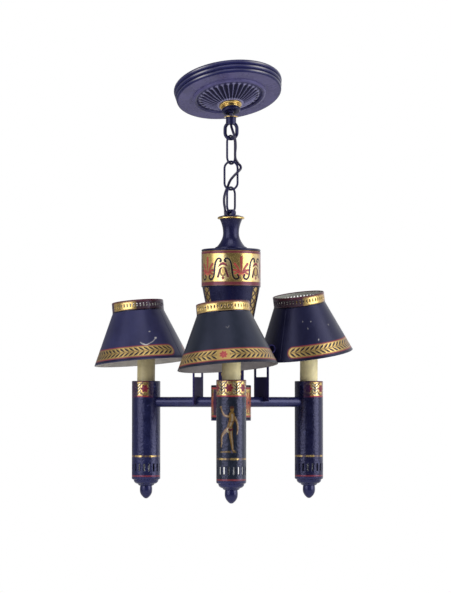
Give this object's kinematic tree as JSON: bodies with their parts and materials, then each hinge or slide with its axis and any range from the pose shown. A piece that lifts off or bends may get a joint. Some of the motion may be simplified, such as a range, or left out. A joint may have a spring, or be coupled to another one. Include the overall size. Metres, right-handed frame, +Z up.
{
  "type": "tole chandelier",
  "caption": "Tole chandelier with a stamped canopy, chain-hung quiver body, straight arms, candle tubes and tilting clip-on shades",
  "frame": {"origin": "centre of the canopy's ceiling face, midway between the crossbar holes", "axes": "X right, Y away from the picture's camera, Z up against gravity; the canopy leans as pictured and the chain and body hang plumb"},
  "size_m": [0.3459, 0.3309, 0.5745],
  "materials": {
    "lacquer": "blue-black japanned lacquer, worn gloss",
    "canopy_paint": "blue-black satin paint",
    "gilding": "gold paint with red and black stencil",
    "brass": "aged brass",
    "steel": "zinc plated",
    "shade_paint": "blue-black lacquer outside, pale grey inside",
    "candle_cream": "cream",
    "socket_black": "phenolic",
    "bulb_glass": "frosted",
    "lead_jacket": "dark insulated lead"
  },
  "bodies": {
    "canopy": {"canopy_shell": "canopy_paint", "crossbar": "steel", "nipple": "brass", "locknut": "brass", "collar_ring": "brass"},
    "loop": {"collar_loop": "lacquer"},
    "link_1": {"chain_link_1": "lacquer"},
    "link_2": {"chain_link_2": "lacquer", "lead": "lead_jacket"},
    "link_3": {"chain_link_3": "lacquer"},
    "fixture": {"hanging_eye": "lacquer", "neck_flange": "brass", "neck": "lacquer", "drum": "gilding", "cone": "lacquer", "hub": "gilding", "hub_cap": "lacquer", "centre_rod": "steel", "rod_nut": "brass", "arm_nuts": "steel", "arm_front": "lacquer", "arm_right": "lacquer", "arm_left": "lacquer", "candle_tube_front": "lacquer", "candle_tube_right": "lacquer", "candle_tube_left": "lacquer", "bottom_cap_front": "lacquer", "bottom_cap_right": "lacquer", "bottom_cap_left": "lacquer", "finial_front": "lacquer", "finial_right": "lacquer", "finial_left": "lacquer", "candle_sleeve_front": "candle_cream", "candle_sleeve_right": "candle_cream", "candle_sleeve_left": "candle_cream", "socket_front": "socket_black", "socket_right": "socket_black", "socket_left": "socket_black", "socket_stem_front": "steel", "socket_stem_right": "steel", "socket_stem_left": "steel", "bulb_front": "bulb_glass", "bulb_right": "bulb_glass", "bulb_left": "bulb_glass", "scroll_strap_front": "lacquer", "scroll_strap_right": "lacquer", "scroll_strap_left": "lacquer"},
    "clip_front": {"bulb_clip_front": "brass"},
    "shade_front": {"shade_front": "shade_paint"},
    "clip_right": {"bulb_clip_right": "brass"},
    "shade_right": {"shade_right": "shade_paint"},
    "clip_left": {"bulb_clip_left": "brass"},
    "shade_left": {"shade_left": "shade_paint"}
  },
  "joints": [
    {"name": "loop_swivel", "type": "hinge", "parent": "canopy", "child": "loop", "pos_m": [0.00455, -0.0126, -0.0355], "axis": [1, 0, 0], "range_deg": [-25, 5], "deforming": ["lead"]},
    {"name": "link_1_swing", "type": "hinge", "parent": "loop", "child": "link_1", "pos_m": [0.00455, -0.0126, -0.0735], "axis": [0.9563, -0.2924, 0], "range_deg": [-20, 20], "deforming": ["lead"]},
    {"name": "link_2_swing", "type": "hinge", "parent": "link_1", "child": "link_2", "pos_m": [0.00455, -0.0126, -0.1067], "axis": [0.5736, 0.8192, 0], "range_deg": [-20, 20], "deforming": ["lead"]},
    {"name": "link_3_swing", "type": "hinge", "parent": "link_2", "child": "link_3", "pos_m": [0.00455, -0.0126, -0.1408], "axis": [0.9563, -0.2924, 0], "range_deg": [-20, 20], "deforming": ["lead"]},
    {"name": "fixture_swing", "type": "hinge", "parent": "link_3", "child": "fixture", "pos_m": [0.00455, -0.0126, -0.1714], "axis": [0.5736, 0.8192, 0], "range_deg": [-20, 20], "deforming": ["lead"]},
    {"name": "shade_front_tilt", "type": "hinge", "parent": "fixture", "child": "clip_front", "pos_m": [0.00455, -0.1386, -0.3426], "axis": [1, 0, 0], "range_deg": [-8, 8]},
    {"name": "shade_front_turn", "type": "hinge", "parent": "clip_front", "child": "shade_front", "pos_m": [-0.00243, -0.1386, -0.34311], "axis": [-0.073, 0.075, 0.9945], "continuous": true},
    {"name": "shade_right_tilt", "type": "hinge", "parent": "fixture", "child": "clip_right", "pos_m": [0.10901, 0.05785, -0.3226], "axis": [-0.5592, 0.829, 0], "range_deg": [-8, 5]},
    {"name": "shade_right_turn", "type": "hinge", "parent": "clip_right", "child": "shade_right", "pos_m": [0.10057, 0.05785, -0.32364], "axis": [-0.1207, -0.1392, 0.9829], "continuous": true},
    {"name": "shade_left_tilt", "type": "hinge", "parent": "fixture", "child": "clip_left", "pos_m": [-0.1087, 0.04263, -0.3336], "axis": [-0.4384, -0.8988, 0], "range_deg": [-8, 8]},
    {"name": "shade_left_turn", "type": "hinge", "parent": "clip_left", "child": "shade_left", "pos_m": [-0.11668, 0.04263, -0.33424], "axis": [-0.0801, 0.0471, 0.9957], "continuous": true}
  ]
}
